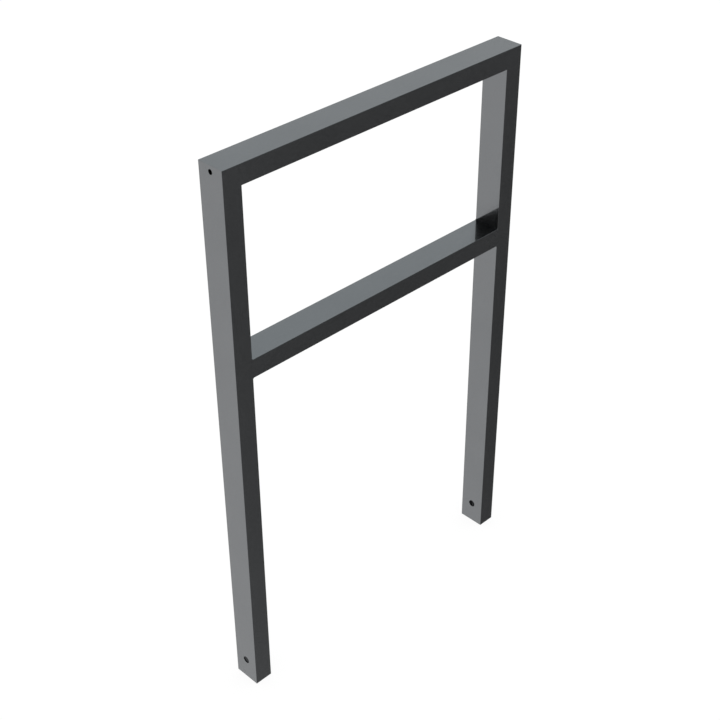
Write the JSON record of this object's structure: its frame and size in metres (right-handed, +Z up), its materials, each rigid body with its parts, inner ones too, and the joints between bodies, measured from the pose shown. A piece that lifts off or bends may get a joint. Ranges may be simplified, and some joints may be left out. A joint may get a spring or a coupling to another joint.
{
  "type": "hoop bike rack",
  "caption": "Upright hoop of rectangular steel tube with a second rail below the top one and plain legs to cast into the ground.",
  "frame": {"origin": "midway between the legs, in the plane of their lower ends", "axes": "+Z up along the legs, X across the hoop from the left leg to the right one, Y from the front face to the back face"},
  "size_m": [0.75, 0.06, 1.2],
  "materials": {
    "tube_coat": "smooth dark grey metallic coat, fairly glossy",
    "weld_coat": "the same coat over ground welds"
  },
  "bodies": {
    "root": {"left_leg": "tube_coat", "right_leg": "tube_coat", "top_rail": "tube_coat", "mid_rail": "tube_coat", "weld_top_left": "weld_coat", "weld_top_right": "weld_coat", "weld_mid_left": "weld_coat", "weld_mid_right": "weld_coat"}
  },
  "joints": []
}
